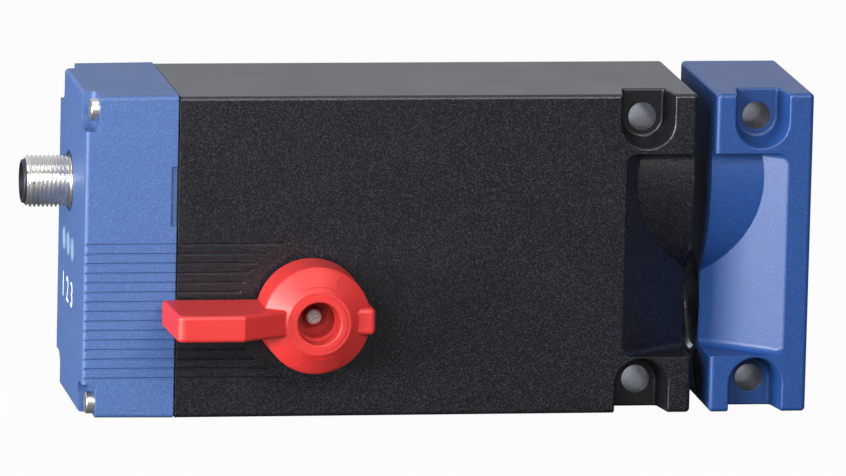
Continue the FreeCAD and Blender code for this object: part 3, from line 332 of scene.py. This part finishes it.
def powderCoat(look, texture, hole):
    mat, tree, shader, place = startMaterial(look["name"], look["body"], look["roughness"],
                                             ior=texture["ior"])
    grain = addNode(tree, "ShaderNodeTexNoise",
                    {"Scale": perMm(look["grainMm"]), "Detail": 2.0, "Roughness": 0.55}, {"Vector": place})
    # pale flecks in the coat colour: partly the coat's own speckle, partly painted glints
    fleckAndGlint = addNode(tree, "ShaderNodeMapRange",
                    {"From Min": texture["fleckAndGlintFrom"], "From Max": texture["fleckAndGlintTo"]},
                    {"Value": grain.outputs[0]})
    useColours(tree, shader, fleckAndGlint.outputs[0], look["body"], look["fleckAndGlint"])
    # slow change of gloss, as a coat has where it was handled
    cloud = addNode(tree, "ShaderNodeTexNoise", {"Scale": perMm(texture["cloudMm"]), "Detail": 3.0},
                    {"Vector": place})
    useRoughness(tree, shader, cloud.outputs[0], look["roughness"] - texture["glossSpread"],
                 look["roughness"] + texture["glossSpread"])
    useBump(tree, shader, grain.outputs[0], look["grainDepthMm"], look["edgeMm"])
    if look["holeXMm"] is not None:
        bareTheHoles(tree, shader, place, hole, look["holeXMm"])
    return mat


for slot, look in coats.items():
    finishes[slot] = powderCoat(look, coatTexture, bareHole)

print("plastics and rubber")

# Injection mouldings with a spark-eroded skin: even, satin, with a slow drift of tone
mouldings = {
    "red_plastic": {"name": "redGlassFilledNylon", "colour": "#b92927", "shade": "#ae2321",
                    "roughness": 0.46},
    "black_plastic": {"name": "blackNylon", "colour": "#1b1d21", "shade": "#141518", "roughness": 0.5},
    "white_plastic": {"name": "whiteAcetal", "colour": "#e9e6dd", "shade": "#dedacf", "roughness": 0.4},
}
mouldSkin = {"ior": 1.53, "driftMm": 9.0, "grainMm": 0.25, "grainDepthMm": 0.012, "glossSpread": 0.06}


def mouldedPlastic(look, skin):
    mat, tree, shader, place = startMaterial(look["name"], look["colour"], look["roughness"], ior=skin["ior"])
    drift = addNode(tree, "ShaderNodeTexNoise", {"Scale": perMm(skin["driftMm"]), "Detail": 2.0},
                    {"Vector": place})
    useColours(tree, shader, drift.outputs[0], look["shade"], look["colour"])
    grain = addNode(tree, "ShaderNodeTexNoise", {"Scale": perMm(skin["grainMm"]), "Detail": 3.0},
                    {"Vector": place})
    useRoughness(tree, shader, grain.outputs[0], look["roughness"] - skin["glossSpread"],
                 look["roughness"] + skin["glossSpread"])
    useBump(tree, shader, grain.outputs[0], skin["grainDepthMm"])
    return mat


for slot, look in mouldings.items():
    finishes[slot] = mouldedPlastic(look, mouldSkin)

# Gasket, seals and wiper: matt black with a faint grey bloom
seals = {"colour": "#121213", "dark": "#0e0e0f", "bloom": "#26262a", "roughness": 0.75, "ior": 1.52,
         "bloomMm": 2.0, "bloomDepthMm": 0.02}


def nitrileRubber(look):
    mat, tree, shader, place = startMaterial("nitrileRubber", look["colour"], look["roughness"],
                                             ior=look["ior"])
    bloom = addNode(tree, "ShaderNodeTexNoise", {"Scale": perMm(look["bloomMm"]), "Detail": 4.0},
                    {"Vector": place})
    useColours(tree, shader, bloom.outputs[0], look["dark"], look["bloom"])
    useBump(tree, shader, bloom.outputs[0], look["bloomDepthMm"])
    return mat


finishes["black_rubber"] = nitrileRubber(seals)

# Ends of the light pipe: milky and cool, lit from the side
lightPipe = {"colour": "#a9c4dc", "dark": "#7f9fcb", "milky": "#a2bbd6", "roughness": 0.35, "ior": 1.585,
             "transmission": 0.3, "hazeMm": 1.2, "hazeDepthMm": 0.01}


def frostedPolycarbonate(look):
    mat, tree, shader, place = startMaterial("frostedPolycarbonate", look["colour"], look["roughness"],
                                             ior=look["ior"])
    shader.inputs["Transmission Weight"].default_value = look["transmission"]
    haze = addNode(tree, "ShaderNodeTexNoise", {"Scale": perMm(look["hazeMm"]), "Detail": 2.0},
                   {"Vector": place})
    useColours(tree, shader, haze.outputs[0], look["dark"], look["milky"])
    useBump(tree, shader, haze.outputs[0], look["hazeDepthMm"])
    return mat


finishes["clear_plastic"] = frostedPolycarbonate(lightPipe)

# Cast resin of the diodes: clear amber
diodes = {"colour": "#f0dd96", "dark": "#e9d283", "pale": "#f7ebb8", "roughness": 0.12, "ior": 1.55,
          "transmission": 0.6, "swirlMm": 0.8}


def diodeEpoxy(look):
    mat, tree, shader, place = startMaterial("diodeEpoxy", look["colour"], look["roughness"], ior=look["ior"])
    shader.inputs["Transmission Weight"].default_value = look["transmission"]
    swirl = addNode(tree, "ShaderNodeTexNoise", {"Scale": perMm(look["swirlMm"])}, {"Vector": place})
    useColours(tree, shader, swirl.outputs[0], look["dark"], look["pale"])
    return mat


finishes["led_resin"] = diodeEpoxy(diodes)

print("metals")

# Thin plating and drawn steel: even and bright, with faint cloudy patches
platings = {
    # pale and satin, a little warm
    "stainless_steel": {"name": "stainlessSteel", "bright": "#e2e0dc", "dull": "#c6c4bf",
                        "roughness": 0.32, "cloudMm": 3.0, "depthMm": 0.002},
    # darker and oily
    "spring_steel": {"name": "springSteel", "bright": "#9d9c9a", "dull": "#83817e",
                     "roughness": 0.3, "cloudMm": 3.0, "depthMm": 0.002},
    # cool blue-white, dulled by passivation
    "zinc_plated_steel": {"name": "zincPlatedSteel", "bright": "#dde1e4", "dull": "#c4cace",
                          "roughness": 0.4, "cloudMm": 1.5, "depthMm": 0.002},
    # bright and warm white, with crisp highlights on the thread
    "nickel_plated_brass": {"name": "nickelPlatedBrass", "bright": "#ebe8e3", "dull": "#dad7d2",
                            "roughness": 0.24, "cloudMm": 3.0, "depthMm": 0.0008},
    # yellow contact gold
    "gold_plated_brass": {"name": "goldPlatedBrass", "bright": "#e8c56c", "dull": "#d6ad4e",
                          "roughness": 0.2, "cloudMm": 3.0, "depthMm": 0.002},
    # mirror-like grey
    "magnet": {"name": "nickelPlatedMagnet", "bright": "#c9c7c2", "dull": "#b3b1ac",
               "roughness": 0.2, "cloudMm": 3.0, "depthMm": 0.002},
}
metalSkin = {"grainMm": 0.15, "glossier": 0.04, "duller": 0.08}


def platedMetal(look, skin):
    mat, tree, shader, place = startMaterial(look["name"], look["bright"], look["roughness"], metallic=1.0)
    cloud = addNode(tree, "ShaderNodeTexNoise", {"Scale": perMm(look["cloudMm"]), "Detail": 4.0},
                    {"Vector": place})
    useColours(tree, shader, cloud.outputs[0], look["dull"], look["bright"])
    useRoughness(tree, shader, cloud.outputs[0], look["roughness"] - skin["glossier"],
                 look["roughness"] + skin["duller"])
    grain = addNode(tree, "ShaderNodeTexNoise", {"Scale": perMm(skin["grainMm"]), "Detail": 2.0},
                    {"Vector": place})
    useBump(tree, shader, grain.outputs[0], look["depthMm"])
    return mat


for slot, look in platings.items():
    finishes[slot] = platedMetal(look, metalSkin)

# Bare metal off the lathe: rings about the bolt's axis that catch the light in turn.
# The feed is drawn coarser than the real one, so that the rings show.
turnedRing = {"bright": "#d4d6d8", "dull": "#b4b7ba", "roughness": 0.28, "glossier": 0.05, "duller": 0.07,
              "axis": "X", "feedMm": 1.5, "feedDepthMm": 0.004, "wobble": 0.4}


def turnedAluminium(look):
    low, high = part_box("locking_bolt")
    mat, tree, shader, place = startMaterial("turnedAluminium", look["bright"], look["roughness"],
                                             metallic=1.0)
    shift = addNode(tree, "ShaderNodeVectorMath", {"operation": "SUBTRACT", 1: (low + high) / 2}, {0: place})
    rings = addNode(tree, "ShaderNodeTexWave",
                    {"wave_type": "RINGS", "rings_direction": look["axis"],
                     "Scale": wavePerMm(look["feedMm"]), "Distortion": look["wobble"]},
                    {"Vector": shift.outputs[0]})
    useColours(tree, shader, rings.outputs[1], look["dull"], look["bright"])
    useRoughness(tree, shader, rings.outputs[1], look["roughness"] - look["glossier"],
                 look["roughness"] + look["duller"])
    useBump(tree, shader, rings.outputs[1], look["feedDepthMm"])
    return mat


finishes["bare_zinc"] = turnedAluminium(turnedRing)

# Winding of the solenoid: layers of fine round wire, drawn at 0.8 mm so that the turns show, with painted
# shade between the turns and a painted highlight on each crown
winding = {"colour": "#b4552b", "between": "#7a3417", "paintedHighlightCrown": "#c8693a", "roughness": 0.25,
           "wireMm": 0.8, "wireDepthMm": 0.15}


def enamelledCopper(look):
    mat, tree, shader, place = startMaterial("enamelledCopper", look["colour"], look["roughness"],
                                             metallic=1.0)
    turns = addNode(tree, "ShaderNodeTexWave",
                    {"wave_type": "BANDS", "bands_direction": "X", "Scale": wavePerMm(look["wireMm"])},
                    {"Vector": place})
    # painted shade between the turns and painted highlight on their crowns
    useColours(tree, shader, turns.outputs[1], look["between"], look["paintedHighlightCrown"])
    useBump(tree, shader, turns.outputs[1], look["wireDepthMm"])
    return mat


finishes["copper_wire"] = enamelledCopper(winding)

# Guide bush: oily brown bearing metal with open pores
bush = {"colour": "#9c7440", "pore": "#5e421f", "metal": "#a98148", "roughness": 0.45,
        "poreMm": 0.5, "poreDepthMm": 0.02}


def sinteredBronze(look):
    mat, tree, shader, place = startMaterial("sinteredBronze", look["colour"], look["roughness"],
                                             metallic=1.0)
    pores = addNode(tree, "ShaderNodeTexVoronoi", {"Scale": perMm(look["poreMm"])}, {"Vector": place})
    useColours(tree, shader, pores.outputs[0], look["pore"], look["metal"])
    useBump(tree, shader, pores.outputs[0], look["poreDepthMm"])
    return mat


finishes["bearing_bronze"] = sinteredBronze(bush)

print("circuit boards")

# Glass laminate under green mask, with tracks that show through as paler lines
boards = {"colour": "#1c5a38", "mask": "#174a2e", "track": "#2d7a4c", "roughness": 0.3, "ior": 1.5,
          "trackMm": 2.54, "trackFrom": 0.62, "trackTo": 0.7, "bends": 3.0, "trackDepthMm": 0.02}


def circuitLaminate(look):
    mat, tree, shader, place = startMaterial("circuitLaminate", look["colour"], look["roughness"],
                                             ior=look["ior"])
    tracks = addNode(tree, "ShaderNodeTexWave",
                     {"wave_type": "BANDS", "bands_direction": "Z", "Scale": wavePerMm(look["trackMm"]),
                      "Distortion": look["bends"], "Detail": 0.0}, {"Vector": place})
    edge = addNode(tree, "ShaderNodeMapRange",
                   {"From Min": look["trackFrom"], "From Max": look["trackTo"]},
                   {"Value": tracks.outputs[1]})
    useColours(tree, shader, edge.outputs[0], look["mask"], look["track"])
    useBump(tree, shader, edge.outputs[0], look["trackDepthMm"])
    return mat


finishes["board_laminate"] = circuitLaminate(boards)

print("CAD pieces")

for part in frame["record"]["subparts"]:
    mesh = frame["nodes"][part["node"]].data
    mesh.materials.clear()
    mesh.materials.append(finishes[part["material_slot"]])

print("connector thread")

# M12 x 1 thread, one solid turned piece with its shoulder and bore
thread = {
    "pitchMm": 1.0,
    "depthMm": 0.6,
    "outerMm": 6.0,
    "boreMm": 5.12,
    "runOutMm": 1.0,
    "shoulderMm": 0.5,
    "seatSunkMm": 0.48,
    "shankUnderMm": 0.4,  # how much thinner the shank behind the shoulder is than the thread
    "columns": 160,
    "sharpDeg": 35,
    "weldMm": 0.001,
    # along one pitch: place as a share of the pitch, height as a share of the depth
    "profile": [(0.0, 0.0), (0.1, 0.0), (0.14, 0.05), (0.41, 0.93), (0.45, 1.0), (0.55, 1.0), (0.59, 0.93),
                (0.86, 0.05), (0.9, 0.0)],
}


def threadedShell(look):
    low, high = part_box("connector_shell")
    axisY, axisZ = (low.y + high.y) / 2, (low.z + high.z) / 2
    outer, bore, shoulder = look["outerMm"] * mm, look["boreMm"] * mm, (high.y - low.y) / 2
    pitch, depth = look["pitchMm"] * mm, look["depthMm"] * mm
    root = outer - depth
    shank = outer - look["shankUnderMm"] * mm
    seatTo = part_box("end_cover")[0].x + look["seatSunkMm"] * mm
    seatFrom = seatTo - look["shoulderMm"] * mm
    # each row is a place along the axis, a radius and whether it follows the helix
    rows = [(high.x, bore, False), (low.x, bore, False), (low.x, root, False)]
    for turn in range(int((seatFrom - low.x) / pitch) + 2):
        rows += [(low.x + (turn - 1 + place) * pitch, root + share * depth, True)
                 for place, share in look["profile"]]
    rows += [(seatFrom, root, False), (seatFrom, shoulder, False), (seatTo, shoulder, False),
             (seatTo, shank, False), (high.x, shank, False)]
    columns = look["columns"]
    verts, faces = [], []
    for along, radius, onHelix in rows:
        for j in range(columns + 1):
            x, r, angle = along, radius, 2 * pi * j / columns
            if onHelix:
                x = min(max(along + pitch * j / columns, low.x), seatFrom)
                fade = min((seatFrom - x) / (look["runOutMm"] * mm), 1.0)
                r = root + min(radius - root, x - low.x) * fade
            verts.append((x, axisY + r * cos(angle), axisZ + r * sin(angle)))
    for i in range(len(rows)):
        for j in range(columns):
            a, b = i * (columns + 1) + j, ((i + 1) % len(rows)) * (columns + 1) + j
            faces.append((a, a + 1, b + 1, b))
    mesh = bpy.data.meshes.new("threadedShell")
    mesh.from_pydata(verts, [], faces)
    # the clamped ends of the helix fall together, so they are welded
    weld = bmesh.new()
    weld.from_mesh(mesh)
    bmesh.ops.remove_doubles(weld, verts=weld.verts, dist=look["weldMm"] * mm)
    bmesh.ops.dissolve_degenerate(weld, edges=weld.edges, dist=look["weldMm"] * mm)
    weld.to_mesh(mesh)
    weld.free()
    mesh.shade_smooth()
    mesh.set_sharp_from_angle(angle=radians(look["sharpDeg"]))
    mesh.materials.append(finishes["nickel_plated_brass"])
    shell = bpy.data.objects.new("threadedShell", mesh)
    bpy.context.scene.collection.objects.link(shell)
    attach(shell, "housing")
    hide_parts("connector_shell")


threadedShell(thread)

print("return spring")

# Round wire wound on the bolt
spring = {"wireMm": 1.2, "turns": 6.0, "endTurns": 0.5, "stepsPerTurn": 40, "around": 10, "strokeMm": 19.0}


def coilSpring(look):
    low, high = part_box("return_spring")
    centre = (low + high) / 2
    wire = look["wireMm"] * mm / 2
    coil = (high.z - low.z) / 2 - wire
    total = look["turns"] + 2 * look["endTurns"]
    steps = int(total * look["stepsPerTurn"])
    around = look["around"]
    verts, faces = [], []
    for i in range(steps + 1):
        turn = total * i / steps
        share = min(max((turn - look["endTurns"]) / look["turns"], 0.0), 1.0)
        x = low.x + wire + share * (high.x - low.x - 2 * wire)
        angle = 2 * pi * turn
        for j in range(around):
            bend = 2 * pi * j / around
            r = coil + wire * cos(bend)
            verts.append((x + wire * sin(bend), centre.y + r * sin(angle), centre.z + r * cos(angle)))
    for i in range(steps):
        for j in range(around):
            a, k = i * around, (j + 1) % around
            faces.append((a + j, a + k, a + around + k, a + around + j))
    faces.append(tuple(reversed(range(around))))
    faces.append(tuple(range(steps * around, (steps + 1) * around)))
    mesh = bpy.data.meshes.new("coiledReturnSpring")
    mesh.from_pydata(verts, [], faces)
    mesh.shade_smooth()
    mesh.materials.append(finishes["spring_steel"])
    wound = bpy.data.objects.new("coiledReturnSpring", mesh)
    bpy.context.scene.collection.objects.link(wound)
    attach(wound, "housing")
    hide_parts("return_spring")
    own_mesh(wound)


coilSpring(spring)

print("window numbers")

# Plain numbers below the three indicator windows, pad printed: flat, opaque white with a faint unevenness
numbers = {"frontToBack": ["3", "2", "1"], "sizeMm": 8.5, "belowMm": 8.4, "inkMm": 0.02, "filmMm": 0.3,
           "ink": "#f2f4f6", "thinInk": "#e6e9ec", "roughness": 0.5}


def whitePadPrint(look):
    mat, tree, shader, place = startMaterial("whitePadPrint", look["ink"], look["roughness"])
    film = addNode(tree, "ShaderNodeTexNoise", {"Scale": perMm(look["filmMm"]), "Detail": 2.0},
                   {"Vector": place})
    useColours(tree, shader, film.outputs[0], look["thinInk"], look["ink"])
    return mat


def windowNumbers(look):
    mat = whitePadPrint(look)
    low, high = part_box("light_pipe")
    width = high.z - low.z
    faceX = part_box("end_cover")[0].x
    facesLeft = Matrix(((0, 0, -1, 0), (-1, 0, 0, 0), (0, 1, 0, 0), (0, 0, 0, 1)))
    for i, word in enumerate(look["frontToBack"]):
        data = bpy.data.curves.new("number" + word, "FONT")
        data.body = word
        data.size = look["sizeMm"] * mm
        data.extrude = look["inkMm"] * mm / 2
        data.align_x = "CENTER"
        data.align_y = "CENTER"
        text = bpy.data.objects.new("numberText", data)
        mesh = bpy.data.meshes.new_from_object(text)
        bpy.data.objects.remove(text)
        mesh.materials.clear()
        mesh.materials.append(mat)
        number = bpy.data.objects.new("windowNumber" + word, mesh)
        x = faceX - look["inkMm"] * mm / 2
        y = low.y + width / 2 + i * (high.y - low.y - width) / 2
        z = low.z - look["belowMm"] * mm
        number.matrix_world = Matrix.Translation((x, y, z)) @ facesLeft
        bpy.context.scene.collection.objects.link(number)
        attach(number, "housing")


windowNumbers(numbers)
